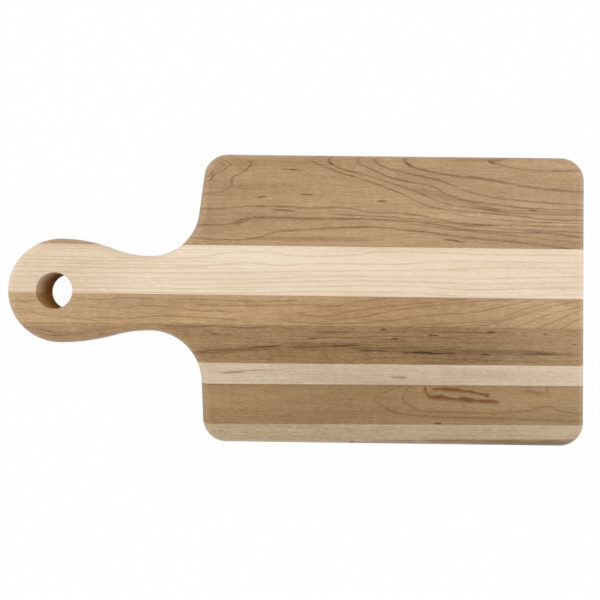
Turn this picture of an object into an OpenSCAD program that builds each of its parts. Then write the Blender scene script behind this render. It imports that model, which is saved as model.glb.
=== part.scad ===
// Paddle serving board: seven maple staves glued edge to edge, sawn to a paddle outline,
// rounded over along every edge and bored through the knob for hanging. The saw leaves a
// sliver of the far stave on the knob, so the board comes to eight pieces of wood.
// The board lies flat with its handle towards -X and its far edge towards +Y. The origin
// is at the middle of the board's outline, on its underside.

/* [Board] */
// Length from the nose of the knob to the square end
board_l = 355.6; // [345:0.1:380]
// Width of the body across the staves
board_w = 177.8; // [174:0.1:200]
// Thickness of the board
board_t = 19.05; // [15:0.05:28]
// Radius of the body's four corners, seen from above
corner_r = 14.8; // [12:0.1:20]
// Radius of the round-over along every outer edge
edge_r = 6.35; // [2:0.05:7]

/* [Handle] */
// Length from the nose of the knob to the foot of the far shoulder
far_handle_l = 120.3; // [105:0.1:140]
// Length from the nose of the knob to the foot of the near shoulder
near_handle_l = 121.8; // [105:0.1:140]
// Radius of the knob's nose, and half the width of the knob
knob_r = 32.3; // [29:0.1:36]
// Distance of the knob's middle from the body's middle line
knob_offset = 3.1; // [0:0.1:6]
// Part of the taper between knob and neck that curves outwards
taper_share = 0.57; // [0.4:0.01:0.8]
// Width of the neck at its narrowest
neck_w = 46.4; // [40:0.1:54]
// Distance of the neck's middle from the body's middle line
neck_offset = 2; // [0:0.1:4]
// Radius of the cove where the neck flares into the far shoulder
far_cove_r = 30; // [24:0.1:36]
// Radius of the cove where the neck flares into the near shoulder
near_cove_r = 32.4; // [24:0.1:38]
// Lean of the far shoulder away from square, in degrees
far_lean = 6.9; // [1:0.1:12]
// Lean of the near shoulder away from square, in degrees
near_lean = 3.1; // [1:0.1:12]

/* [Hanging hole] */
// Diameter of the hanging hole
hole_d = 22.2; // [12:0.1:28]
// Distance of the hole's middle from the nose of the knob
hole_inset = 30.9; // [26:0.1:36]
// Distance of the hole's middle from the body's middle line
hole_offset = 2.7; // [0:0.1:6]
// Width of the chamfer that eases each rim of the hole
hole_ease = 0.3; // [0.2:0.05:1.5]

/* [Staves] */
// Height of the far stave's sliver that the saw leaves on the knob
sliver_h = 3.7; // [2:0.1:6]
// Width of the pale stave that forms the far half of the handle
pale_w = 30.4; // [24:0.1:36]
// Width of the streaked stave's strip that the saw leaves along the neck
neck_strip_w = 4.4; // [2:0.1:8]
// Width of the dark streaked stave
streaked_w = 22.7; // [18:0.1:28]
// Width of the narrow pale stave
narrow_w = 12.5; // [8:0.1:18]
// Width of the stave along the near edge
near_edge_w = 13.1; // [8:0.1:20]

/* [Hidden] */
$fn = 128;

// Straight steps along the nose, the taper's two curves, the cove, the shoulder and the end corner
nose_steps = 14;
taper_steps = 4;
cove_steps = 11;
corner_steps = 8;
// Straight steps across each quarter-round of the edge
edge_steps = 6;
// Run past a face by every cut
overrun = 1;

// Colours of the staves
brown = [0.67, 0.55, 0.42];
cream = [0.93, 0.85, 0.74];
biscuit = [0.77, 0.66, 0.52];
umber = [0.60, 0.49, 0.38];
ivory = [0.86, 0.77, 0.66];
honey = [0.72, 0.59, 0.44];
sand = [0.76, 0.66, 0.54];

half_l = board_l / 2;
half_w = board_w / 2;
hole = [hole_inset - half_l, hole_offset];

// Glue lines, counted from the far side. The far, the tan and the figured stave fill the room
// that is left beside the others
glue_1 = knob_offset + knob_r - sliver_h;
glue_2 = glue_1 - pale_w;
glue_3 = neck_offset - neck_w / 2 + neck_strip_w;
glue_4 = glue_3 - streaked_w;
glue_5 = glue_4 - narrow_w;
glue_6 = near_edge_w - half_w;

function unit(angle) = [cos(angle), sin(angle)];

// The outline is worked out for one side of the board at a time, with that side towards +Y:
// side is 1 for the far side and -1 for the near side
function cove_r(side) = side > 0 ? far_cove_r : near_cove_r;
function lean(side) = side > 0 ? far_lean : near_lean;
function handle_l(side) = side > 0 ? far_handle_l : near_handle_l;
function neck_y(side) = neck_w / 2 + side * neck_offset;
knob_x = knob_r - half_l;
function shoulder_corner(side) = [handle_l(side) - half_l + corner_r, half_w - corner_r];
end_corner = [half_l - corner_r, half_w - corner_r];

// The shoulder runs straight between its corner and the cove, touching both
function shoulder_facing(side) = unit(180 - lean(side));
function shoulder_l(side) =
    (shoulder_corner(side).y - neck_y(side) - cove_r(side)
        + (corner_r + cove_r(side)) * sin(lean(side))) / cos(lean(side));
function cove(side) =
    shoulder_corner(side) + (corner_r + cove_r(side)) * shoulder_facing(side)
        - shoulder_l(side) * unit(90 - lean(side));

// The taper is an outward curve and an inward curve that meet at one slope
function taper_run(side) = cove(side).x - knob_x;
function taper_drop(side) = side * knob_offset + knob_r - neck_y(side);
function taper_r(side) =
    (pow(taper_run(side), 2) + pow(taper_drop(side), 2)) / (2 * taper_drop(side));
function taper_angle(side) = asin(taper_run(side) / taper_r(side));
function flank_r(side) = taper_share * taper_r(side);
function neck_r(side) = taper_r(side) - flank_r(side);

// Stations along a curve of the outline: each is a point, and the way that the edge faces there
function bend(centre, r, from, to, steps, first = 0, facing = 1) = [
    for (i = [first : steps])
        let (out = unit(from + (to - from) * i / steps))
            [centre + r * out, facing * out]
];

// A curve that carries straight on from the one before starts at its second station
function side_stations(side) =
    let (
        knob = [knob_x, side * knob_offset],
        flank = knob + [0, knob_r - flank_r(side)],
        neck = [cove(side).x, neck_y(side) + neck_r(side)],
        turn = taper_angle(side)
    )
    concat(
        bend(knob, knob_r, 180, 90, nose_steps),
        bend(flank, flank_r(side), 90, 90 - turn, taper_steps, first = 1),
        bend(neck, neck_r(side), 270 - turn, 270, taper_steps, first = 1, facing = -1),
        bend(cove(side), cove_r(side), 270, 360 - lean(side), cove_steps, first = 1, facing = -1),
        bend(shoulder_corner(side), corner_r, 180 - lean(side), 90, corner_steps),
        bend(end_corner, corner_r, 90, 0, corner_steps)
    );

// The whole outline, clockwise from the nose round the far side and back along the near side
far = side_stations(1);
near = side_stations(-1);
last = len(far) - 1;
function flip(station) = [[station[0].x, -station[0].y], [station[1].x, -station[1].y]];
outline = concat(far, [for (i = [last : -1 : 1]) flip(near[i])]);
around = len(outline);

// Each layer of the board is the outline drawn in by [inset] at height [z]
layers = concat(
    [for (i = [0 : edge_steps]) edge_r * [1 - sin(90 * i / edge_steps), 1 - cos(90 * i / edge_steps)]],
    [for (i = [edge_steps : -1 : 0])
        [0, board_t] + edge_r * [1 - sin(90 * i / edge_steps), cos(90 * i / edge_steps) - 1]]
);
top_layer = len(layers) - 1;

function corner_of(layer, i) = layer * around + i % around;

// A face of the board is filled in slice by slice, each between the far and the near side
function slice(layer, i) = [
    corner_of(layer, i), corner_of(layer, i + 1),
    corner_of(layer, around - i - 1), corner_of(layer, around - i)
];
function reversed(face) = [for (i = [len(face) - 1 : -1 : 0]) face[i]];

// The board with its edges rounded over, before it is bored
module moulded_board() {
    polyhedron(
        points = [
            for (layer = layers)
                for (station = outline)
                    let (p = station[0] - layer[0] * station[1])
                        [p.x, p.y, layer[1]]
        ],
        faces = concat(
            [for (k = [0 : top_layer - 1])
                for (i = [0 : around - 1])
                    [corner_of(k, i), corner_of(k, i + 1), corner_of(k + 1, i + 1), corner_of(k + 1, i)]],
            [for (i = [0 : last - 1]) slice(top_layer, i)],
            [for (i = [0 : last - 1]) reversed(slice(0, i))]
        )
    );
}

module hanging_hole() {
    translate([hole.x, hole.y, -overrun]) cylinder(d = hole_d, h = board_t + 2 * overrun);
    for (z = [0, board_t])
        translate([hole.x, hole.y, z])
            mirror([0, 0, z > 0 ? 1 : 0])
                translate([0, 0, -overrun])
                    cylinder(
                        r1 = hole_d / 2 + hole_ease + overrun,
                        r2 = hole_d / 2 - overrun,
                        h = 2 * overrun + hole_ease
                    );
}

// The part of the board between two glue lines, over a stretch of its length
module stave(low, high, from = -board_l, to = board_l) {
    intersection() {
        moulded_board();
        translate([from, low, -overrun]) cube([to - from, high - low, board_t + 2 * overrun]);
    }
}

// The neck parts the far stave from the sliver on the knob
module far_stave() {
    color(brown) stave(glue_1, board_w, from = cove(1).x);
}

module knob_sliver() {
    color(brown) stave(glue_1, board_w, to = cove(1).x);
}

module pale_handle_stave() {
    color(cream)
        difference() {
            stave(glue_2, glue_1);
            hanging_hole();
        }
}

module tan_handle_stave() {
    color(biscuit)
        difference() {
            stave(glue_3, glue_2);
            hanging_hole();
        }
}

module streaked_stave() {
    color(umber) stave(glue_4, glue_3);
}

module narrow_pale_stave() {
    color(ivory) stave(glue_5, glue_4);
}

module figured_stave() {
    color(honey) stave(glue_6, glue_5);
}

module near_edge_stave() {
    color(sand) stave(-board_w, glue_6);
}

far_stave();
knob_sliver();
pale_handle_stave();
tan_handle_stave();
streaked_stave();
narrow_pale_stave();
figured_stave();
near_edge_stave();
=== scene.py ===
"""Paddle serving board of edge-glued maple staves, in metres, in the CAD frame: handle to -X, face up."""

import math

import bmesh
import bpy
import numpy as np
from mathutils import Matrix, Vector
from mathutils.geometry import tessellate_polygon


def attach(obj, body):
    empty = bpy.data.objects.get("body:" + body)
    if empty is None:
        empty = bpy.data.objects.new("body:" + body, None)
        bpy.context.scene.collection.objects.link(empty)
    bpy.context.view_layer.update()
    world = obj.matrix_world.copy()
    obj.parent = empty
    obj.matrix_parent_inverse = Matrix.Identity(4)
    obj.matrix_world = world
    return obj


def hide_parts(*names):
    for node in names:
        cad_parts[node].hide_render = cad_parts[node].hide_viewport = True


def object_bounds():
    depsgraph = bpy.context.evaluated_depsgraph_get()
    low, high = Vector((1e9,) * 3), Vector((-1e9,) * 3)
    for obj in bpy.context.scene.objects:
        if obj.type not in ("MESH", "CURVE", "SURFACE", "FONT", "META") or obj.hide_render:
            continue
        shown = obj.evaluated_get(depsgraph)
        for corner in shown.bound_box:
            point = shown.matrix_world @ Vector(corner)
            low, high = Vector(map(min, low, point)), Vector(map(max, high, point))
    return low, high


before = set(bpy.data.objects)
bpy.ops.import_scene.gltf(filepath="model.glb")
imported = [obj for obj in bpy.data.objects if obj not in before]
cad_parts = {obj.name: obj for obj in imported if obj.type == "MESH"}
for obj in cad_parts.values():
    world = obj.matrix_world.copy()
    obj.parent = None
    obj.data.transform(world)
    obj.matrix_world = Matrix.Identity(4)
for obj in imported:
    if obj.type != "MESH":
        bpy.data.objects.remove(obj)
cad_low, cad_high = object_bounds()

MM = 0.001

# The board's sizes, in millimetres: its box comes from the frame and the rest is as in the part's source
BOARD_L, BOARD_W, BOARD_T = [round((high - low) / MM, 2) for low, high in zip(cad_low, cad_high)]
CORNER_R, EDGE_R = 14.8, 6.35
KNOB_R, KNOB_OFFSET = 32.3, 3.1
NECK_W, NECK_OFFSET, TAPER_SHARE = 46.4, 2.0, 0.57
HANDLE_L = {1: 120.3, -1: 121.8}  # by side of the board: 1 is the far side (+Y), -1 the near side
COVE_R = {1: 30.0, -1: 32.4}
LEAN = {1: math.radians(6.9), -1: math.radians(3.1)}
HOLE_R, HOLE_INSET, HOLE_OFFSET, HOLE_EASE = 11.1, 30.9, 2.7, 0.3
HOLE = np.array([HOLE_INSET - BOARD_L / 2, HOLE_OFFSET])
SLIVER_H, PALE_W, NECK_STRIP_W = 3.7, 30.4, 4.4
STREAKED_W, NARROW_W, NEAR_EDGE_W = 22.7, 12.5, 13.1

# Each glue line, far to near, is its y at GLUE_X and its slope. The near staves taper a little
GLUE_X = 57.0
KNOB_GLUE = KNOB_OFFSET + KNOB_R - SLIVER_H
NECK_GLUE = NECK_OFFSET - NECK_W / 2 + NECK_STRIP_W
GLUE = [
    (KNOB_GLUE, 0), (KNOB_GLUE - PALE_W, 0), (NECK_GLUE, 0), (NECK_GLUE - STREAKED_W, 0.0038),
    (NECK_GLUE - STREAKED_W - NARROW_W, 0.0067), (NEAR_EDGE_W - BOARD_W / 2, 0.0082),
]
COVE_X = -95.0  # the outline parts the knob's sliver from the far stave here

# How finely the surfaces are drawn
ARC_STEP = 0.45  # mm between points along an arc of the outline
EDGE_STEPS = 16  # facets in each quarter round of the edge
EASE_STEPS = 4  # facets in each quarter round of the hole's rims
HOLE_STEPS = 120  # facets round the hole
ON_CUT = 1e-5  # mm: a point this near a saw cut lies on it
SLIVER = 1e-3  # mm: a face thinner than this, left by a saw cut, is closed up
FLAT = 1e-4  # radians between two faces that are taken as one
STRAIGHT = 0.01  # radians between two edges that are taken as one, where no third edge meets them
SHARP = math.radians(20)  # an edge that turns further than this is drawn crisp


# The moulded board

def arc(centre, radius, start, end, hollow=False):
    """Points centre + radius (cos angle, sin angle) for an angle from start to end degrees, and the outward
    normals: the same unit vectors, turned round where the outline is hollow there."""
    count = max(3, int(abs(math.radians(end - start)) * radius / ARC_STEP))
    angle = np.radians(np.linspace(start, end, count))
    ray = np.stack([np.cos(angle), np.sin(angle)], 1)
    return np.asarray(centre) + radius * ray, -ray if hollow else ray


def half_outline(side):
    """Nose to end corner along one side: knob arc, flank arc, hollow neck arc, hollow cove arc, a short
    straight shoulder, shoulder corner and end corner, each tangent to the next. It is drawn with that side
    towards +Y, then y is multiplied by the side's sign."""
    half_l, half_w = BOARD_L / 2, BOARD_W / 2
    lean, cove_r = LEAN[side], COVE_R[side]
    neck_y = NECK_W / 2 + side * NECK_OFFSET
    knob = np.array([KNOB_R - half_l, side * KNOB_OFFSET])
    corner = np.array([HANDLE_L[side] - half_l + CORNER_R, half_w - CORNER_R])
    out = np.array([-math.cos(lean), math.sin(lean)])
    run = np.array([math.sin(lean), math.cos(lean)])
    straight = (corner[1] - neck_y - cove_r + (CORNER_R + cove_r) * math.sin(lean)) / math.cos(lean)
    cove = corner + (CORNER_R + cove_r) * out - straight * run
    taper_run = cove[0] - knob[0]
    taper_drop = knob[1] + KNOB_R - neck_y
    both_r = (taper_run ** 2 + taper_drop ** 2) / (2 * taper_drop)
    turn = math.degrees(math.asin(taper_run / both_r))
    flank_r = TAPER_SHARE * both_r
    neck_r = both_r - flank_r
    lean_deg = math.degrees(lean)
    parts = [
        arc(knob, KNOB_R, 180, 90),
        arc(knob + [0, KNOB_R - flank_r], flank_r, 90, 90 - turn),
        arc([cove[0], neck_y + neck_r], neck_r, 270 - turn, 270, hollow=True),
        arc(cove, cove_r, 270, 360 - lean_deg, hollow=True),
        arc(corner, CORNER_R, 180 - lean_deg, 90),
        arc([half_l - CORNER_R, half_w - CORNER_R], CORNER_R, 90, 0),
    ]
    shared = [0, 1, 1, 1, 0, 0]  # 1 where an arc's first point is the last point of the arc before
    points, normals = [np.concatenate([array[skip:] for skip, array in zip(shared, arrays)])
                       for arrays in zip(*parts)]
    return points * [1, side], normals * [1, side]


def rounded(radius, steps):
    """The profile of an edge, from the underside up: a quarter round, a flat and a quarter round. It is given
    as how far each point lies inside the outline, and at what height."""
    angle = np.linspace(0, math.pi / 2, steps + 1)
    inset, rise = radius * (1 - np.sin(angle)), radius * (1 - np.cos(angle))
    return np.r_[inset, inset[::-1]], np.r_[rise, BOARD_T - rise[::-1]]


def swept(points, normals, inset, height):
    """The grid of a profile carried round a closed outline: layer j of point i is
    point - inset_j * normal in plan, at height_j."""
    plan = points[None] - inset[:, None, None] * normals[None]
    level = np.broadcast_to(height[:, None, None], plan.shape[:2] + (1,))
    return np.concatenate([plan, level], 2)


def grid_faces(numbers):
    """Quads between neighbouring layers of a closed grid, facing right of the way round, from the numbers of
    its points."""
    onward = np.roll(numbers, -1, 1)
    return np.stack([numbers[:-1], onward[:-1], onward[1:], numbers[1:]], -1).reshape(-1, 4)


def flat_faces(rims, numbers, upward):
    """Triangles that fill the flat face between closed rims of points, all facing up or all facing down."""
    triangles = np.array(tessellate_polygon([[Vector(point) for point in rim] for rim in rims]))
    first, second, third = np.moveaxis(np.concatenate(rims)[triangles], 1, 0)
    corners = np.concatenate(numbers)[triangles]
    wrong = (np.cross(second - first, third - first)[:, 2] > 0) != upward
    corners[wrong] = corners[wrong][:, ::-1]
    return corners


def moulded_board():
    """The whole board before the staves are told apart, as vertices in mm and faces: the moulded edge carried
    round the outline, the bored hole with its rims eased in the same way, and the two flat faces between
    outline and hole."""
    near_points, near_normals = half_outline(-1)
    far_points, far_normals = half_outline(1)
    points = np.concatenate([near_points, far_points[:0:-1]])
    normals = np.concatenate([near_normals, far_normals[:0:-1]])
    angle = np.linspace(0, -2 * math.pi, HOLE_STEPS, endpoint=False)
    ray = np.stack([np.cos(angle), np.sin(angle)], 1)
    grids = [swept(points, normals, *rounded(EDGE_R, EDGE_STEPS)),
             swept(HOLE + HOLE_R * ray, -ray, *rounded(HOLE_EASE, EASE_STEPS))]
    numbers, faces, first = [], [], 0
    for grid in grids:
        layers, around = grid.shape[:2]
        numbers.append(first + np.arange(layers * around).reshape(layers, around))
        faces += grid_faces(numbers[-1]).tolist()
        first += layers * around
    for layer, upward in ((0, False), (-1, True)):
        faces += flat_faces([grid[layer] for grid in grids], [own[layer] for own in numbers], upward).tolist()
    return np.concatenate([grid.reshape(-1, 3) for grid in grids]), faces


def sawn(bm, line, keep_above):
    """One straight saw cut down through everything along a glue line: the waste goes, and each open cut
    becomes a flat glue face."""
    y, slope = line
    bmesh.ops.bisect_plane(
        bm, geom=bm.verts[:] + bm.edges[:] + bm.faces[:], dist=ON_CUT, plane_co=(GLUE_X, y, 0),
        plane_no=(-slope, 1, 0), clear_inner=keep_above, clear_outer=not keep_above)
    open_edges = [e for e in bm.edges if e.is_boundary]
    bmesh.ops.edgeloop_fill(bm, edges=open_edges)


def cleaned(bm):
    """Slivers are closed up, flat neighbours become one face, and points that are left in the middle of a
    straight edge go."""
    bmesh.ops.dissolve_degenerate(bm, dist=SLIVER, edges=bm.edges)
    flat = [e for e in bm.edges if e.is_manifold and e.calc_face_angle(1.0) < FLAT]
    bmesh.ops.dissolve_edges(bm, edges=flat, use_verts=True)
    needless = [v for v in bm.verts if len(v.link_edges) == 2 and v.calc_edge_angle(1.0) < STRAIGHT]
    bmesh.ops.dissolve_verts(bm, verts=needless)
    bmesh.ops.recalc_face_normals(bm, faces=bm.faces)


def stave(board, name, near_line, far_line, x_range):
    """The part of the moulded board between two glue lines, as a finished object in metres."""
    bm = board.copy()
    if near_line:
        sawn(bm, near_line, True)
    if far_line:
        sawn(bm, far_line, False)
    if x_range:
        waste = [v for v in bm.verts if not x_range[0] < v.co.x < x_range[1]]
        bmesh.ops.delete(bm, geom=waste, context="VERTS")
    cleaned(bm)
    bmesh.ops.scale(bm, vec=(MM, MM, MM), verts=bm.verts)
    mesh = bpy.data.meshes.new(name)
    bm.to_mesh(mesh)
    bm.free()
    mesh.shade_smooth()
    mesh.set_sharp_from_angle(angle=SHARP)
    piece = bpy.data.objects.new(name, mesh)
    bpy.context.scene.collection.objects.link(piece)
    return piece


def give_bore_wall(mesh):
    """Faces of the drilled wall, found by their middle's distance from the hole's axis, take material 1."""
    middles = np.zeros(len(mesh.polygons) * 3)
    mesh.polygons.foreach_get("center", middles)
    reach = np.linalg.norm(middles.reshape(-1, 3)[:, :2] / MM - HOLE, axis=1)
    mesh.polygons.foreach_set("material_index", (reach < HOLE_R + HOLE_EASE / 3).astype(int))


# The wood

# Its blots of noise, each (along, across, through) the stave in mm
WANDER = (75, 20, 20)  # the slow wander that bends every ring
WOBBLE = (7, 4, 4)  # the small quick wobble that makes a drawn line look grown
PATCHES = (12, 4, 4)  # where a drawn line is strong and where it is weak
RAGGED = (4, 1.2, 1.2)  # the ragged rims of flecks, stains and bands
CLOUDS = (120, 12, 12)  # broad clouds of tone
STREAKS = (22, 0.9, 0.9)  # fine streaks along the fibres
PORES = (3.0, 0.5, 0.5)  # pores: real ones are 0.1 mm across, too fine to show here
CURL = (5.0, 16, 16)  # the faint curl across the fibres
DASHES = (7, 0.7, 0.7)  # short dark dashes

YEAR = [(0.0, 0.0), (0.5, 0.05), (0.76, 0.3), (0.92, 1.0), (1.0, 0.05)]  # latewood over a year's growth
UNEVEN_YEARS, UNEVEN_PER_MM = 3.0, 0.13  # how far rings crowd and spread, and how often
WEAKEST_YEAR = 0.35  # share of its strength that the faintest ring keeps
HANDLE_TO_BODY = (-80.0, -20.0)  # range of x, in mm, where the handle's rings pass into the body's
HEART_TURN = -0.25  # past the log's heart, lines turn back by this times the square of the distance in mm
LINE_FADE, TURN_FADE = 6.0, 3.0  # mm over which a drawn line fades out at each end
FLECK_CORE, BAND_CORE = 0.45, 0.3  # share of a fleck or a band that has its full colour
RAGGED_ALONG = 3.5  # how far ragged rims reach along the fibres, in mm
STAIN_DEPTHS = (3.0, 9.0)  # mm below the face: a stain fades out between these
END_FACING = (0.5, 0.95)  # side grain passes into end grain as a surface comes to face along the stave
END_GRAIN = 0.16  # how much deeper in tone the open end grain is
GLUE_COLOUR, GLUE_SHARE = "#7A5A3C", 0.35
GLUE_HALF_WIDTHS = (0.1, 0.3)  # mm: the hairline fades between these; the real film is too fine to show
RELIEF, RELIEF_SHARE = 0.00012, 0.22  # metres from fibres to pores, and how much of it sanding leaves
LATE_RELIEF = -0.6  # latewood against the fibres beside it

# Sanded faces have a thin film of oil, which greys and brightens a rounded edge as it turns away from the
# eye. The drilled wall is dry and matt
SANDED = dict(gloss=0.38, rough=(0.36, 0.54), film=0.36)
DRILLED = dict(gloss=0.05, rough=(0.8, 0.95), film=0.0)
# The drilled wall's colour deepens towards its foot: painted shade of the deep narrow hole
BORE_SHADE_FOOT, BORE_SHADE_SHARES = 3.5, (0.12, 0.95)  # height in mm of the deepest colour; its share, top to foot
DENSE_ROUGH = -0.12  # mineral stained wood is denser and sands smoother


def linear(hex_colour):
    """An sRGB hex colour as the linear RGBA that the shaders take."""
    srgb = np.array([int(hex_colour[i:i + 2], 16) for i in (1, 3, 5)]) / 255
    rgb = np.where(srgb <= 0.04045, srgb / 12.92, ((srgb + 0.055) / 1.055) ** 2.4)
    return (*rgb.tolist(), 1.0)


def node_adder(tree):
    """Gives add(kind, inputs in order, named inputs, settings): one node, with each input set or linked."""
    def add(kind, *inputs, named=None, stops=None, curve=None, **settings):
        node = tree.nodes.new("ShaderNode" + kind)
        for key, value in settings.items():
            setattr(node, key, value)
        for key, value in [*enumerate(inputs), *(named or {}).items()]:
            if value is None:
                continue
            if isinstance(value, bpy.types.Node):
                value = value.outputs[0]
            if isinstance(value, bpy.types.NodeSocket):
                tree.links.new(value, node.inputs[key])
            else:
                node.inputs[key].default_value = value
        if stops:
            ramp = node.color_ramp
            for at, colour in stops[1:-1]:
                ramp.elements.new(at)
            for element, (at, colour) in zip(ramp.elements, stops):
                element.position = at
                element.color = linear(colour) if isinstance(colour, str) else (colour, colour, colour, 1)
        if curve:
            points = node.mapping.curves[0].points
            for at in curve[1:-1]:
                points.new(*at)
            for point, at in zip(points, curve):
                point.location = at
            node.mapping.update()
        return node
    return add


def stretched_noise(add, place, grain, detail=2.0, rough=0.5, shift=0.0):
    """Noise whose blots are grain = (along, across, through) mm in size, from 0 to 1."""
    scaled = add("Mapping", place, (shift, shift * 1.7, shift * 0.6), None, tuple(1 / g for g in grain))
    return add("TexNoise", scaled, None, 1.0, detail, rough)


def growth_line(add, x, across, path, width, fade=LINE_FADE, early=2.0):
    """A dark latewood line along a path of (x, y) mm on the face: 1 on the line, falling to 0 over width mm
    on the bark side and over early times that on the other, and fading out at both ends of the path."""
    xs, ys = [p[0] for p in path], [p[1] for p in path]
    low, high = min(ys) - 1, max(ys) + 1
    share = add("MapRange", x, xs[0], xs[-1], 0.0, 1.0)
    curve = [((px - xs[0]) / (xs[-1] - xs[0]), (py - low) / (high - low)) for px, py in path]
    run = add("FloatCurve", 1.0, share, curve=curve)
    line_y = add("MapRange", run, 0.0, 1.0, low, high)
    gap = add("Math", across, line_y, operation="SUBTRACT")
    bark = add("MapRange", gap, 0.0, width, 1.0, 0.0, interpolation_type="SMOOTHSTEP")
    inner = add("MapRange", gap, -early * width, 0.0, 0.0, 1.0, interpolation_type="SMOOTHSTEP")
    mask = add("Math", bark, inner, operation="MULTIPLY")
    start = add("MapRange", x, xs[0] - fade / 2, xs[0] + fade / 2, 0.0, 1.0)
    stop = add("MapRange", x, xs[-1] - fade / 2, xs[-1] + fade / 2, 1.0, 0.0)
    ends = add("Math", start, stop, operation="MULTIPLY")
    return add("Math", mask, ends, operation="MULTIPLY")


def fleck(add, place, at, half_l, half_w, turn=0.0, deep=3.0, core=FLECK_CORE):
    """A long thin spot in the wood round a point of the face: 1 in the core share of it, 0 past its half
    sizes in mm. It is turned by turn degrees and reaches deep mm into the wood."""
    local = add("Mapping", place, (at[0], at[1], BOARD_T), (0, 0, math.radians(turn)),
                (half_l, half_w, deep), vector_type="TEXTURE")
    reach = add("VectorMath", local, operation="LENGTH")
    return add("MapRange", reach.outputs["Value"], 1.0, core, 0.0, 1.0, interpolation_type="SMOOTHSTEP")


def darkest(add, masks):
    """The largest of several masks, or None where there are none."""
    found = masks[0] if masks else None
    for mask in masks[1:]:
        found = add("Math", found, mask, operation="MAXIMUM")
    return found


def grain_measures(add, look, place, y, depth):
    """How far across the stave a point lies, in mm, for lines that run with the rings. The rings bow away
    under the face and wobble a little. The second measure also turns back where the heart of the log lies
    under an edge."""
    wobble = stretched_noise(add, place, WOBBLE, 2.0, 0.6, look["seed"] + 3)
    bowed = add("Math", add("Math", depth, 2.0, operation="POWER"), look["bow"], y, operation="MULTIPLY_ADD")
    shift = add("Math", add("Math", wobble, 0.5, operation="SUBTRACT"), look["wobble"], operation="MULTIPLY")
    upright = add("Math", shift, bowed, operation="ADD")
    if not look["heart"]:
        return upright, upright
    past = add("Math", add("Math", y, look["heart"], operation="SUBTRACT"), 0.0, operation="MAXIMUM")
    return upright, add("Math", add("Math", past, 2.0, operation="POWER"), HEART_TURN, upright,
                        operation="MULTIPLY_ADD")


def yearly_rings(add, look, place, x, across):
    """Latewood of the yearly rings, counted across the stave, uneven in width and in strength."""
    wander = stretched_noise(add, place, WANDER, 1.0, 0.4, look["seed"])
    rings = add("Math", add("Math", wander, 0.5, operation="SUBTRACT"), look["wander"], across,
                operation="MULTIPLY_ADD")
    uneven = add("TexNoise", None, add("Math", rings, UNEVEN_PER_MM, operation="MULTIPLY"), 1.0, 1.0, 0.5,
                 noise_dimensions="1D")
    count = add("Math", uneven, UNEVEN_YEARS, add("Math", rings, look["pitch"], operation="DIVIDE"),
                operation="MULTIPLY_ADD")
    strength = add("TexWhiteNoise", None, add("Math", count, operation="FLOOR"), noise_dimensions="1D")
    year = add("ValToRGB", add("Math", count, operation="FRACT"), stops=YEAR)
    year = add("Math", year, add("MapRange", strength, 0.0, 1.0, WEAKEST_YEAR, 1.0), operation="MULTIPLY")
    share = add("MapRange", x, *HANDLE_TO_BODY, look["knob_year"], look["year"])
    return add("Math", year, share, operation="MULTIPLY")


def latewood(add, look, place, x, upright, across):
    """The yearly rings, and over them the drawn lines, strong in one place and weak in the next."""
    year = yearly_rings(add, look, place, x, across)
    drawn = darkest(add, [growth_line(add, x, across, path, width) for width, path in look["lines"]]
                    + [growth_line(add, upright, x, path, width, TURN_FADE) for width, path in look["turns"]])
    if not drawn:
        return year
    patchy = stretched_noise(add, place, PATCHES, 1.0, 0.5, look["seed"] + 5)
    patchy = add("MapRange", patchy, 0.3, 0.65, 0.5 * look["line_share"], look["line_share"])
    return add("Math", year, add("Math", drawn, patchy, operation="MULTIPLY"), operation="MAXIMUM")


def ragged(add, look, place):
    """Every point moved a little to and fro, so that a mark drawn on it gets ragged rims."""
    noise = stretched_noise(add, place, RAGGED, 2.0, 0.6, look["seed"] + 9)
    bent = add("VectorMath", noise.outputs["Color"], (-0.5, -0.5, -0.5), operation="ADD")
    reach = (RAGGED_ALONG, look["ragged"], 1.0)
    return add("VectorMath", bent, reach, place, operation="MULTIPLY_ADD")


def mineral_spots(add, look, marks, x, depth):
    """Flecks, and stains that lie near the face and don't come through to the underside."""
    spots = [fleck(add, marks, *spot) for spot in look["flecks"]]
    mark_y = add("SeparateXYZ", marks).outputs[1]
    stains = darkest(add, [growth_line(add, x, mark_y, path, width, TURN_FADE)
                           for width, path in look["stains"]])
    if stains:
        shallow = add("MapRange", depth, *STAIN_DEPTHS, 1.0, 0.0)
        spots.append(add("Math", stains, shallow, operation="MULTIPLY"))
    if not spots:
        return None
    return add("Math", darkest(add, spots), look["spot_share"], operation="MULTIPLY")


def mineral_bands(add, look, marks, streaks):
    """Soft long bands of mineral colour, broken up by the streaks of the fibres."""
    bands = darkest(add, [fleck(add, marks, *band, look["band_deep"], BAND_CORE) for band in look["bands"]])
    if not bands:
        return None
    broken = add("MapRange", streaks, 0.38, 0.56, look["band_clear"] * look["band_share"],
                 look["band_share"])
    return add("Math", bands, broken, operation="MULTIPLY")


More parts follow.
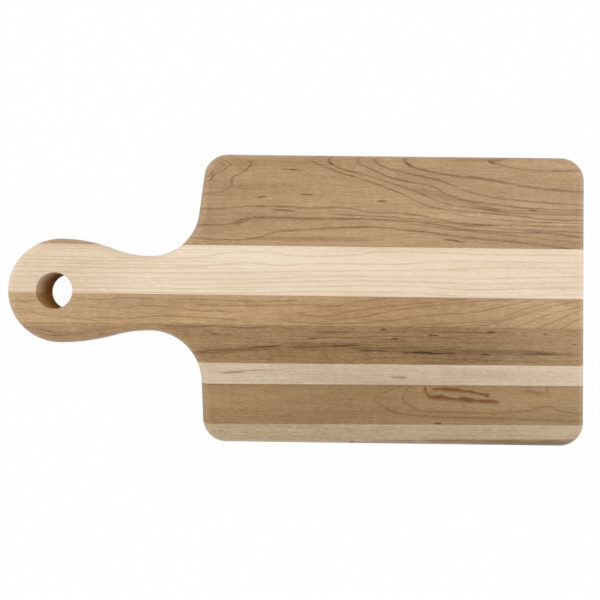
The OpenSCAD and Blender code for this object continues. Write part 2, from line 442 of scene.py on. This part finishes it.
def plain_tone(add, look, place, x, streaks, pores, end):
    """The tone of the plain wood, from 0 for the lightest to 1 for the deepest: clouds, streaks, pores and
    curl about a middle tone, dark dashes, slow shading along the stave that is partly the wood's own tone and
    partly painted light and shade, and the open end grain."""
    clouds = stretched_noise(add, place, CLOUDS, 2.0, 0.5, look["seed"] + 1)
    curl = stretched_noise(add, place, CURL, 1.0, 0.5, look["seed"] + 7)
    dashes = stretched_noise(add, place, DASHES, 1.0, 0.5, look["seed"] + 6)
    tone = 0.5
    for noise, share in ((clouds, "clouds"), (streaks, "streaks"), (pores, "pores"), (curl, "curl")):
        tone = add("Math", add("Math", noise, 0.5, operation="SUBTRACT"), look[share], tone,
                   operation="MULTIPLY_ADD")
    tone = add("Math", add("MapRange", dashes, 0.6, 0.74, 0.0, look["dashes"]), tone, operation="ADD")
    # shading along the stave: partly the wood's own tone, partly painted light and shade for how light falls
    # along the board
    for from_x, to_x, share in look["shade"]:
        shade = add("MapRange", x, from_x, to_x, 0.0, share, interpolation_type="SMOOTHSTEP")
        tone = add("Math", shade, tone, operation="ADD")
    return add("Math", end, END_GRAIN, tone, operation="MULTIPLY_ADD")


def maple(name, look, finish):
    """Hard maple, sanded and oiled or drilled: a tone from light to deep wood, picked by broad clouds, fine
    streaks and pores that all run along the stave, with a faint curl across it; thin darker latewood lines;
    mineral bands, stains and flecks; darker open end grain where the surface faces along the stave; and a
    hairline of glue where it meets its neighbour. The drilled wall is the same wood, matt, with painted shade
    that deepens the further down the hole it lies."""
    material = bpy.data.materials.new(name)
    material.use_nodes = True
    tree = material.node_tree
    tree.nodes.clear()
    add = node_adder(tree)

    def painted(wood, share, colour):
        if share is None:
            return wood
        return add("Mix", share, named={6: wood, 7: linear(colour)}, data_type="RGBA").outputs[2]

    place = add("VectorMath", add("TexCoord").outputs["Object"], named={"Scale": 1 / MM}, operation="SCALE")
    x, y, z = add("SeparateXYZ", place).outputs
    depth = add("Math", BOARD_T, z, operation="SUBTRACT")
    facing = add("SeparateXYZ", add("NewGeometry").outputs["Normal"])
    end = add("MapRange", add("Math", facing.outputs[0], operation="ABSOLUTE"), *END_FACING, 0.0, 1.0,
              interpolation_type="SMOOTHSTEP")
    streaks = stretched_noise(add, place, STREAKS, 3.0, 0.65, look["seed"] + 2)
    pores = stretched_noise(add, place, PORES, 2.0, 0.6, look["seed"] + 4)
    upright, across = grain_measures(add, look, place, y, depth)
    late = latewood(add, look, place, x, upright, across)
    marks = ragged(add, look, place)
    spots = mineral_spots(add, look, marks, x, depth)
    bands = mineral_bands(add, look, marks, streaks)
    tone = plain_tone(add, look, place, x, streaks, pores, end)

    wood = add("ValToRGB", tone, stops=[(0.0, look["light"]), (0.5, look["mean"]), (1.0, look["deep"])])
    wood = painted(wood, bands, look["band"])
    wood = painted(wood, late, look["late"])
    wood = painted(wood, spots, look["spot"])
    for glue_y, slope in look["glue"]:
        line_y = add("Math", add("Math", x, GLUE_X, operation="SUBTRACT"), slope, glue_y,
                     operation="MULTIPLY_ADD")
        gap = add("Math", add("Math", y, line_y, operation="SUBTRACT"), operation="ABSOLUTE")
        wood = painted(wood, add("MapRange", gap, *GLUE_HALF_WIDTHS, GLUE_SHARE, 0.0), GLUE_COLOUR)
    # Painted shade in the drilled hole: the wall deepens in colour towards its foot
    if finish is DRILLED:
        bore_shade = add("MapRange", z, BOARD_T, BORE_SHADE_FOOT, *BORE_SHADE_SHARES, interpolation_type="SMOOTHSTEP")
        wood = painted(wood, bore_shade, look["bored"])

    fibres = add("Math", pores, streaks, operation="ADD")
    height = add("Math", late, LATE_RELIEF, fibres, operation="MULTIPLY_ADD")
    bump = add("Bump", RELIEF_SHARE, RELIEF, named={"Height": height})
    rough = add("MapRange", add("Math", end, 0.5, streaks, operation="MULTIPLY_ADD"), 0.2, 1.3,
                *finish["rough"])
    if spots:
        rough = add("Math", spots, DENSE_ROUGH, rough, operation="MULTIPLY_ADD")
    shader = add("BsdfPrincipled", named={
        "Base Color": wood, "Roughness": rough, "IOR": 1.5, "Specular IOR Level": finish["gloss"],
        "Normal": bump, "Coat Weight": finish["film"], "Coat Roughness": 0.2, "Coat IOR": 1.5})
    add("OutputMaterial", shader)
    return material


# The figure of each stave, drawn in mm on the face

# Lines of late wood, each (width, path of (x, y))
FAR_LINES = [
    (0.75, [(-96, 35.6), (-59, 36.1), (-43, 35.0), (-26, 36.1), (-12, 40.3), (9, 42.1), (44, 43.8),
            (70, 42.1), (93, 39.5), (121, 36.7), (145, 34.9), (159, 33.0), (180, 30.0)]),
    (0.75, [(-96, 43.5), (-59, 44.0), (-36, 45.1), (-23, 49.1), (9, 48.7), (44, 48.7), (69, 47.7), (90, 45.2),
            (112, 42.4), (135, 41.5), (152, 41.7), (161, 40.6), (180, 38.0)]),
    (0.70, [(-90, 53.8), (-55, 54.0), (-43, 54.5), (-20, 56.0), (9, 55.2), (24, 55.6), (44, 53.2), (70, 51.9),
            (89, 48.5), (103, 46.6), (133, 46.0), (180, 45.2)]),
    (0.70, [(6, 87.0), (12, 82.6), (26, 77.3), (38, 73.8), (50, 69.7), (63, 65.0), (76, 59.0), (86, 55.7),
            (106, 53.9), (135, 51.8), (150, 49.9), (180, 49.9)]),
    (0.75, [(16, 87.0), (21, 82.8), (28, 79.2), (38, 76.8), (63, 69.2), (77, 64.5), (92, 58.6), (112, 55.8),
            (138, 53.4), (180, 52.8)]),
    (0.65, [(34, 87.0), (38, 83.0), (44, 80.0), (63, 72.9), (80, 70.0), (94, 63.5), (103, 60.8), (122, 58.4),
            (143, 56.4), (180, 55.6)]),
    (0.70, [(44, 87.0), (49, 83.0), (54, 80.7), (67, 77.4), (88, 72.6), (103, 66.9), (117, 63.4), (137, 61.2),
            (180, 58.6)]),
    (0.90, [(62, 87.0), (67, 83.0), (72, 80.7), (92, 76.5), (116, 73.9), (135, 70.5), (155, 67.9),
            (180, 66.4)]),
    (0.90, [(112, 87.0), (119, 84.2), (126, 82.4), (135, 80.7), (145, 79.6), (157, 79.5), (180, 80.6)]),
    (0.75, [(-90, 62.6), (-54.2, 63.3), (-49.4, 63.8), (-45.7, 64.8), (-40.9, 66.7), (-38.6, 67.4)]),
    (0.45, [(24, 51.4), (60, 50.0), (90, 46.9), (130, 43.6), (180, 42.0)]),
    (0.45, [(70, 46.0), (100, 42.6), (140, 38.9), (180, 34.6)]),
    (0.45, [(108, 57.2), (135, 55.0), (160, 54.2), (180, 54.2)]),
    (0.45, [(96, 52.2), (130, 48.8), (180, 47.6)]),
]
# The same where a line runs across the stave, as (y, x): the swirl in the far corner by the handle
FAR_TURNS = [
    (1.05, [(66.6, -41.2), (67.6, -38.9), (71.0, -39.1), (72.9, -38.9), (74.1, -37.2), (76.6, -32.3),
            (79.7, -28.7), (82.1, -27.5), (83.9, -29.3), (85.1, -34.8), (88.0, -44.0)]),
    (1.05, [(70.2, -56.0), (72.0, -51.8), (74.5, -50.6), (75.8, -48.2), (77.0, -45.1), (79.5, -42.1),
            (81.4, -39.9), (82.5, -41.5), (84.1, -44.4), (85.6, -50.0)]),
    (1.00, [(72.6, -56.5), (73.9, -53.2), (75.8, -51.8), (77.6, -50.0), (78.9, -46.5), (81.0, -43.9),
            (82.2, -45.0), (83.4, -50.0)]),
]
PALE_LINES = [
    (0.60, [(-75, 23.0), (-59, 23.9), (-47, 26.5), (-35, 27.5), (-17, 27.7), (-4, 26.1), (9, 25.6),
            (26, 26.1), (38, 26.9), (53, 28.9), (80, 28.9), (94, 28.8), (112, 27.8), (131, 27.8),
            (180, 28.3)]),
    (0.60, [(-75, 18.4), (-59, 18.7), (-37, 20.7), (-25, 21.0), (-10, 20.0), (9, 21.1), (63, 21.3),
            (88, 23.5), (157, 23.5), (180, 24.0)]),
    (0.50, [(-75, 14.6), (-35, 15.3), (-10, 15.9), (58, 17.6), (98, 18.7), (118, 19.7), (180, 20.3)]),
    (0.60, [(-75, 10.0), (-41, 11.1), (-22, 11.5), (2, 12.8), (38, 13.7), (63, 13.2), (82, 13.7), (112, 13.2),
            (131, 14.0), (155, 14.7), (180, 15.4)]),
    (0.60, [(-75, 7.3), (-28, 9.0), (2, 10.0), (38, 11.0), (63, 10.8), (94, 10.5), (112, 9.9), (131, 10.4),
            (161, 11.3), (180, 11.9)]),
    (0.60, [(-75, 4.4), (-22, 6.4), (14, 7.1), (44, 8.1), (63, 8.1), (82, 7.7), (94, 6.6), (116, 6.5),
            (143, 7.7), (180, 8.5)]),
    (0.55, [(-75, 1.8), (-22, 3.0), (14, 4.1), (63, 4.1), (82, 3.7), (106, 2.4), (155, 3.7), (180, 4.5)]),
]
TAN_LINES = [
    (0.55, [(-60, -4.7), (-20, -4.9), (9, -3.9), (19, -4.8), (33, -2.4), (48, -0.4), (56, 0.9)]),
    (0.55, [(2, -8.3), (16, -11.0), (33, -8.0), (50, -5.2), (66, -3.2), (86, -1.2), (104, 0.9)]),
    (0.55, [(20, -12.6), (38, -11.5), (50, -8.6), (58, -7.6), (70, -5.0), (94, -2.3), (112, -0.6),
            (131, 0.9)]),
    (0.55, [(-10, -13.3), (26, -15.3), (50, -13.4), (64, -12.4), (76, -9.8), (106, -7.6), (125, -4.0),
            (135, -1.5), (145, 1.0)]),
    (0.55, [(60, -17.6), (80, -15.0), (109, -13.0), (127, -9.2), (145, -3.2), (155, -0.9), (165, 1.0)]),
    (0.40, [(88, -17.6), (104, -15.4), (120, -12.6), (140, -7.0), (160, -1.6), (172, 1.0)]),
    (0.55, [(104, -18.0), (114, -15.4), (133, -10.3), (152, -4.6), (167, -0.8), (180, 1.4)]),
    (0.55, [(124, -18.6), (133, -16.4), (152, -8.9), (163, -5.7), (180, -1.4)]),
    (0.55, [(138, -19.4), (148, -16.2), (157, -12.4), (174, -4.9), (180, -3.0)]),
    (0.45, [(156, -19.0), (163, -16.0), (168, -12.9), (180, -7.6)]),
    (0.60, [(-134, -1.2), (-118, -2.2), (-100, -0.9), (-84, -1.8), (-60, -1.4), (-30, -2.2), (0, -1.2)]),
    (0.50, [(-128, -6.6), (-108, -7.2), (-90, -5.6), (-76, -6.4), (-55, -8.4), (-30, -8.6)]),
    (0.50, [(-122, -12.8), (-100, -13.4), (-82, -11.8), (-60, -12.4), (-34, -13.8)]),
    (0.55, [(-178, -8.2), (-165, -8.8), (-150, -12.6), (-134, -13.6), (-118, -15.6)]),
    (0.45, [(-178, -3.4), (-166, -4.2), (-158, -3.4)]),
]
STREAKED_LINES = [
    (0.60, [(-80, -17.6), (-60, -18.0), (-50, -17.7), (-36, -18.4), (-20, -18.2)]),
    (0.60, [(-56, -19.4), (-51, -21.4), (-44, -23.0)]),
    (0.35, [(0, -22.8), (30, -23.6), (60, -22.4), (100, -23.4)]),
    (0.25, [(40, -36.0), (80, -35.4), (120, -36.4), (180, -35.6)]),
    (0.50, [(-170, -19.6), (-158, -20.4), (-146, -22.6)]),
    (0.45, [(-150, -24.6), (-138, -24.2), (-128, -23.0)]),
]
# Soft mineral bands, each (middle, half length, half width, turn in degrees)
STREAKED_BANDS = [
    ((-40, -32.4), 44.0, 2.2, 4.8), ((26, -29.8), 46.0, 4.3, -1), ((70, -30.9), 46.0, 3.0, -1),
    ((135, -31.6), 56.0, 2.2, -1), ((24, -20.4), 20.0, 1.0, 1), ((104, -19.6), 26.0, 1.0, 0),
    ((58, -24.4), 12.0, 0.6, 0), ((22, -22.0), 18.0, 0.8, 2),
]
FIGURED_LINES = [
    (0.90, [(54, -64.8), (58, -66.6), (64, -69.0), (82, -70.6), (106, -70.9), (143, -71.7), (180, -72.4)]),
    (0.75, [(69, -63.6), (72, -65.3), (77, -67.2), (88, -67.7), (123, -67.9), (137, -66.9), (143, -66.2),
            (148, -64.4), (155, -63.6), (158.6, -65.8), (163.4, -66.6), (174, -68.2), (182, -69.0)]),
    (0.45, [(138, -65.6), (145, -66.6), (151, -65.2)]),
    (1.60, [(139, -54.2), (143, -54.4), (148, -55.3), (154.4, -55.7)]),
]
# The same where a line runs across the stave, as (y, x)
FIGURED_TURNS = [
    (0.95, [(-67.6, 60.5), (-66.6, 58), (-63.1, 51.5), (-61.3, 49.2), (-59.4, 50.2), (-56.9, 55), (-54.4, 61),
            (-51, 67)]),
    (0.85, [(-67.4, 78.3), (-65.1, 73.4), (-62.8, 68.6), (-59.8, 66.2), (-58.0, 66.8), (-54.3, 69.2),
            (-51, 73)]),
    (1.10, [(-56.8, 154.2), (-55.6, 154.3), (-54.2, 153.8), (-50.5, 153.4)]),
]
# Stains are lines of mineral colour, and flecks are spots of it, given as the bands are
FIGURED_STAINS = [
    (1.4, [(79.6, -55.0), (80.6, -56.8), (84, -58.8), (94, -59.6), (103, -60.2), (112, -60.7), (124, -61.3)]),
    (1.1, [(84, -53.8), (95, -54.3), (104, -54.9), (112, -56.2), (118, -57.2)]),
]
FIGURED_FLECKS = [
    ((79.8, -54.4), 2.6, 1.0, -78), ((89.0, -59.0), 7.5, 1.9, -3), ((104.5, -60.2), 7.5, 2.2, -4),
    ((117.0, -61.2), 8.5, 1.7, -2), ((95.0, -54.3), 9.5, 1.6, -2), ((116.8, -57.3), 2.6, 1.9, -10),
    ((87.0, -74.9), 2.8, 0.9, 0),
]

# How each stave's maple looks. Colours: light, mean and deep for the plain wood, late for latewood, spot for
# flecks and stains, band for bands, and bored for the painted shade at the foot of the drilled wall. Sizes in
# mm: pitch from ring to ring, wander, wobble and ragged for how far these bend a line, heart for the y of the
# log's heart, bow for the rings' bow over the square of the depth, and band_deep for how far a band reaches
# into the wood. The rest are shares, and lists of shading along the stave (from x, to x, change of tone),
# which is partly the wood's own tone and partly painted light and shade that makes up for how light falls
# along the board
PLAIN = dict(
    bow=0.02, heart=None, wander=5.0, wobble=1.2, ragged=1.8, pitch=3.0, year=0.3, knob_year=0.3,
    line_share=0.65, spot_share=0.85, band_share=0.8, band_clear=0.5, band_deep=12.0,
    clouds=0.8, streaks=0.9, pores=1.0, curl=0.2, dashes=0.15, band="#5A3C14", bored="#89521A",
    lines=[], turns=[], stains=[], flecks=[], bands=[], shade=[])
LOOKS = {
    "far": dict(
        PLAIN, seed=1.0, light="#D0AD84", mean="#B4926A", deep="#94704A", late="#6A400F", spot="#57330A",
        band="#8A6039", bow=-0.08, heart=82.5, wander=9.0, wobble=1.4, ragged=1.2, pitch=6.5, year=0.12,
        line_share=0.64, spot_share=0.65, band_share=0.5, glue=[GLUE[0]], lines=FAR_LINES,
        turns=FAR_TURNS,
        # The last two bands lie over the rounded far edge and darken it
        bands=[((100, 60.5), 50.0, 3.0, -14), ((10, 36.0), 60.0, 2.4, 0), ((140, 89.9), 75.0, 5.0, 0),
               ((110, 87.2), 30.0, 4.6, 0)],
        flecks=[((-21, 61.5), 3.8, 0.8, 0), ((7, 63.3), 6.0, 0.6, -3), ((-2, 78.4), 9.0, 0.6, -4),
                ((52, 59.6), 3.6, 0.8, 0), ((144, 55.0), 4.5, 0.8, -6), ((114, 45.7), 12.0, 0.7, -2),
                ((-8, 53.4), 9.0, 0.6, -3), ((97, 35.9), 10.0, 0.8, -8), ((119, 84.4), 2.8, 1.4, -20),
                ((-33, 47.4), 6.5, 0.6, 20), ((21, 82.4), 3.0, 0.9, -30), ((69.0, 82.2), 3.2, 0.8, -25)]),
    "pale": dict(
        PLAIN, seed=12.0, light="#F1E0CA", mean="#E8D3B7", deep="#D3B594", late="#BF9A76", spot="#B08A66",
        wander=1.6, wobble=0.5, pitch=2.3, year=0.2, knob_year=0.85, line_share=0.45, streaks=0.42,
        pores=0.8, curl=0.1, glue=[GLUE[0], GLUE[1]], lines=PALE_LINES,
        shade=[(50, -30, -0.15), (-50, -140, 0.5)]),
    "tan": dict(
        PLAIN, seed=25.0, light="#D9B78B", mean="#BC996D", deep="#957149", late="#74491F", spot="#6B4E33",
        bored="#A06C30", bow=0.05, year=0.12, line_share=0.52, clouds=0.5, streaks=0.55, pores=0.85,
        glue=[GLUE[1], GLUE[2]], lines=TAN_LINES,
        shade=[(-40, 40, 0.2), (90, 170, -0.17), (-50, -100, 0.03)]),
    "streaked": dict(
        PLAIN, seed=37.0, light="#C19B71", mean="#A38056", deep="#7E5B34", late="#5B3A18", spot="#422300",
        bow=0.04, pitch=4.2, year=0.15, spot_share=0.97, ragged=0.7, band_share=0.62, band_clear=0.35,
        clouds=0.8, streaks=0.85, pores=1.1, dashes=0.08, glue=[GLUE[2], GLUE[3]], lines=STREAKED_LINES,
        bands=STREAKED_BANDS, stains=[(0.5, [(66.5, -32.4), (76, -32.1), (86, -32.5), (96.5, -32.0)])],
        shade=[(-40, 40, 0.24), (90, 170, -0.26), (-50, -120, -0.08)],
        flecks=[((84, -21.6), 4.4, 0.5, -4), ((119, -19.4), 2.8, 0.6, 0), ((76, -32.2), 10.0, 0.55, 0),
                ((116, -32.9), 4.0, 0.6, 0), ((30, -28.6), 14.0, 0.35, 0), ((54, -18.6), 2.6, 0.4, 0),
                ((169.5, -26.3), 2.4, 0.4, 0), ((152, -19.9), 1.8, 0.35, 0),
                ((-16, -29.6), 14.0, 0.4, 5), ((11, -24.7), 6.0, 0.35, 2), ((61, -24.0), 3.0, 0.4, 0),
                ((150, -32.2), 16.0, 0.35, -1), ((48, -31.4), 12.0, 0.4, -1)]),
    "narrow": dict(
        PLAIN, seed=49.0, light="#E4D1B9", mean="#D2BDA2", deep="#B69F82", late="#A6875F", spot="#8E6440",
        wander=1.5, wobble=0.5, ragged=0.7, pitch=1.6, year=0.26, spot_share=0.56, streaks=0.75,
        glue=[GLUE[3], GLUE[4]], shade=[(-30, 40, 0.2), (90, 170, -0.26)],
        flecks=[((64, -47.3), 7.0, 0.9, 0), ((-37.5, -45.6), 10.0, 1.1, 2), ((-22, -44.2), 22.0, 0.5, 2)]),
    "figured": dict(
        PLAIN, seed=61.0, light="#BE9B6D", mean="#A07F56", deep="#81603A", late="#6E4312", spot="#6E3A00",
        bow=-0.06, pitch=6.0, year=0.1, line_share=0.5, spot_share=0.84, clouds=0.5, streaks=0.7,
        glue=[GLUE[4], GLUE[5]], lines=FIGURED_LINES, turns=FIGURED_TURNS, stains=FIGURED_STAINS,
        flecks=FIGURED_FLECKS, shade=[(-40, 30, 0.15), (50, 90, -0.06), (90, 170, -0.08)]),
    "near": dict(
        PLAIN, seed=73.0, light="#CDB596", mean="#B7A080", deep="#9B8363", late="#7E5E3C", spot="#241509",
        band="#2A1E14", wander=2.0, wobble=0.7, ragged=0.3, pitch=2.0, year=0.3, line_share=0.85,
        spot_share=0.95, band_share=1.0, band_clear=0.7, band_deep=15.0, streaks=0.95, pores=1.2,
        glue=[GLUE[5]], shade=[(-40, 40, 0.1), (90, 170, -0.15)],
        lines=[(0.9, [(50, -86.4), (84, -85.2), (130, -84.5), (172, -83.8)]),
               (0.8, [(30, -87.7), (90, -86.9), (140, -86.2), (178, -85.6)]),
               (0.7, [(64, -88.4), (120, -87.9), (170, -87.2)]),
               (0.6, [(84, -86.2), (130, -85.5), (160, -85.1)]),
               (0.6, [(-20, -88.2), (40, -88.4), (100, -88.8)])],
        # These two bands lie over the rounded near edge, from the middle to the square end, and darken it to
        # a near-black brown
        bands=[((142, -90.4), 84.0, 7.4, 1), ((60, -91.0), 80.0, 4.6, 0)],
        flecks=[((35.9, -87.9), 1.8, 1.8, 0, 9.0, 0.6)]),  # a dark nick in the edge, 9 mm deep
}


# The staves

# Piece, CAD node, record's slot, look, near glue line, far glue line, range of x that the saw leaves
STAVES = [
    ("far_maple_stave", "far_stave", "far_maple", "far", GLUE[0], None, (COVE_X, math.inf)),
    ("knob_maple_sliver", "knob_sliver", "far_maple", "far", GLUE[0], None, (-math.inf, COVE_X)),
    ("pale_maple_stave", "pale_handle_stave", "pale_maple", "pale", GLUE[1], GLUE[0], None),
    ("tan_maple_stave", "tan_handle_stave", "tan_maple", "tan", GLUE[2], GLUE[1], None),
    ("streaked_maple_stave", "streaked_stave", "streaked_maple", "streaked", GLUE[3], GLUE[2], None),
    ("narrow_maple_stave", "narrow_pale_stave", "narrow_maple", "narrow", GLUE[4], GLUE[3], None),
    ("figured_maple_stave", "figured_stave", "figured_maple", "figured", GLUE[5], GLUE[4], None),
    ("near_edge_maple_stave", "near_edge_stave", "edge_maple", "near", None, GLUE[5], None),
]

vertices, faces = moulded_board()
shell = bpy.data.meshes.new("moulded_board")
shell.from_pydata(vertices.tolist(), [], faces)
board = bmesh.new()
board.from_mesh(shell)
bpy.data.meshes.remove(shell)

materials = {key: maple(f"oiled maple, {key} stave", look, SANDED) for key, look in LOOKS.items()}
for name, node, slot, look, near_line, far_line, x_range in STAVES:
    piece = stave(board, name, near_line, far_line, x_range)
    piece.data.materials.append(materials[look])
    if look in ("pale", "tan"):
        piece.data.materials.append(maple(f"drilled maple, {look} stave", LOOKS[look], DRILLED))
        give_bore_wall(piece.data)
    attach(piece, "root")
    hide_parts(node)
board.free()


# Floor and light

FLOOR_HALF_W = 6.0  # metres
FLOOR_GLOW = 0.975  # share of the floor that the camera sees as plain white; the rest takes the shadow
WORLD_STRENGTH = 1.16
SIDE_DIMMING = 0.38  # how bright the surroundings stay past the two long sides
SOFTBOXES = [(-0.95, 0.22, 0.75), (0.95, 0.30, 0.75)]  # places in metres
SOFTBOX_WATTS, SOFTBOX_W = 4.1, 1.4


def seen_plainly(add):
    """1 for rays that show the surroundings to the camera, directly or in gloss or glass, else 0."""
    rays = add("LightPath").outputs
    seen = add("Math", rays["Is Camera Ray"], rays["Is Glossy Ray"], operation="MAXIMUM")
    return add("Math", seen, rays["Is Transmission Ray"], operation="MAXIMUM")


def pale_floor():
    """A matt white board to stand on, whose paleness the camera sees as white, with a soft shadow left in."""
    material = bpy.data.materials.new("matt white floor")
    material.use_nodes = True
    tree = material.node_tree
    tree.nodes.clear()
    add = node_adder(tree)
    share = add("Math", seen_plainly(add), FLOOR_GLOW, operation="MULTIPLY")
    paint = add("BsdfDiffuse", linear("#D6D6D4"))
    white = add("Emission", (1, 1, 1, 1), 1.0)
    add("OutputMaterial", add("MixShader", share, paint, white))
    corners = np.array([(-1, -1, 0), (1, -1, 0), (1, 1, 0), (-1, 1, 0)]) * FLOOR_HALF_W
    mesh = bpy.data.meshes.new("floor")
    mesh.from_pydata(corners.tolist(), [], [(0, 1, 2, 3)])
    mesh.materials.append(material)
    floor = bpy.data.objects.new("floor", mesh)
    bpy.context.scene.collection.objects.link(floor)
    return floor


def surroundings():
    """Soft white surroundings, dimmer past the two long sides. In gloss they are full there, and dimmer
    overhead and past the end corners, as under a camera."""
    world = bpy.data.worlds.new("studio")
    bpy.context.scene.world = world
    world.use_nodes = True
    tree = world.node_tree
    tree.nodes.clear()
    add = node_adder(tree)
    rays = add("LightPath").outputs
    along, across, upward = add("SeparateXYZ", add("TexCoord").outputs["Generated"]).outputs
    sideways = add("Math", across, operation="ABSOLUTE")
    soft = add("MapRange", sideways, 0.1, 0.8, WORLD_STRENGTH, SIDE_DIMMING * WORLD_STRENGTH)
    overhead = add("MapRange", upward, 0.3, 0.9, 1.0, 0.15)
    end_corners = add("Math", add("MapRange", along, 0.1, 0.4, 0.0, 0.75),
                      add("MapRange", sideways, 0.3, 0.6), operation="MULTIPLY")
    walls = add("Math", overhead, add("Math", 1.0, end_corners, operation="SUBTRACT"), operation="MULTIPLY")
    plain = add("Math", rays["Is Camera Ray"], rays["Is Transmission Ray"], operation="MAXIMUM")
    gloss = add("Math", rays["Is Glossy Ray"], walls, operation="MULTIPLY")
    room = add("Math", add("Math", 1.0, rays["Is Glossy Ray"], operation="SUBTRACT"), soft, gloss,
               operation="MULTIPLY_ADD")
    add("OutputWorld", add("Background", (1, 1, 1, 1), add("Math", plain, room, operation="MAXIMUM")))


def softbox(name, place):
    """A broad square lamp, aimed at the middle of the board."""
    lamp = bpy.data.lights.new(name, "AREA")
    lamp.energy, lamp.size = SOFTBOX_WATTS, SOFTBOX_W
    held = bpy.data.objects.new(name, lamp)
    held.location = place
    held.rotation_mode = "QUATERNION"
    held.rotation_quaternion = (-Vector(place)).to_track_quat("-Z", "Y")
    bpy.context.scene.collection.objects.link(held)


pale_floor()
surroundings()
for i, place in enumerate(SOFTBOXES):
    softbox(f"softbox_{i}", place)


# Camera

CAMERA_AT = (4.290, -5.185, 297.55)  # mm
TURN, PITCH, YAW = 0.0122, 0.0144, -0.0040  # radians away from square to the board
SENSOR_W, FOCAL_L = 36.0, 27.486  # mm


def overhead_camera():
    """A camera that hangs above the middle of the board and looks down: turned about the upright axis, then
    pitched towards the far side, then yawed towards the square end."""
    sin_turn, cos_turn = math.sin(TURN), math.cos(TURN)
    along = Vector((cos_turn, sin_turn, 0))
    down = math.cos(PITCH) * Vector((0, 0, -1)) + math.sin(PITCH) * Vector((-sin_turn, cos_turn, 0))
    right = math.cos(YAW) * along - math.sin(YAW) * down
    upward = Vector((-sin_turn * math.cos(PITCH), cos_turn * math.cos(PITCH), math.sin(PITCH)))
    ahead = math.cos(YAW) * down + math.sin(YAW) * along
    lens = bpy.data.cameras.new("camera")
    lens.sensor_width, lens.lens = SENSOR_W, FOCAL_L
    camera = bpy.data.objects.new("camera", lens)
    axes = Matrix((right, upward, -ahead)).transposed().to_4x4()
    camera.matrix_world = Matrix.Translation(Vector(CAMERA_AT) * MM) @ axes
    bpy.context.scene.collection.objects.link(camera)
    return camera


bpy.context.scene.camera = overhead_camera()
bpy.context.scene.view_settings.view_transform = "Standard"
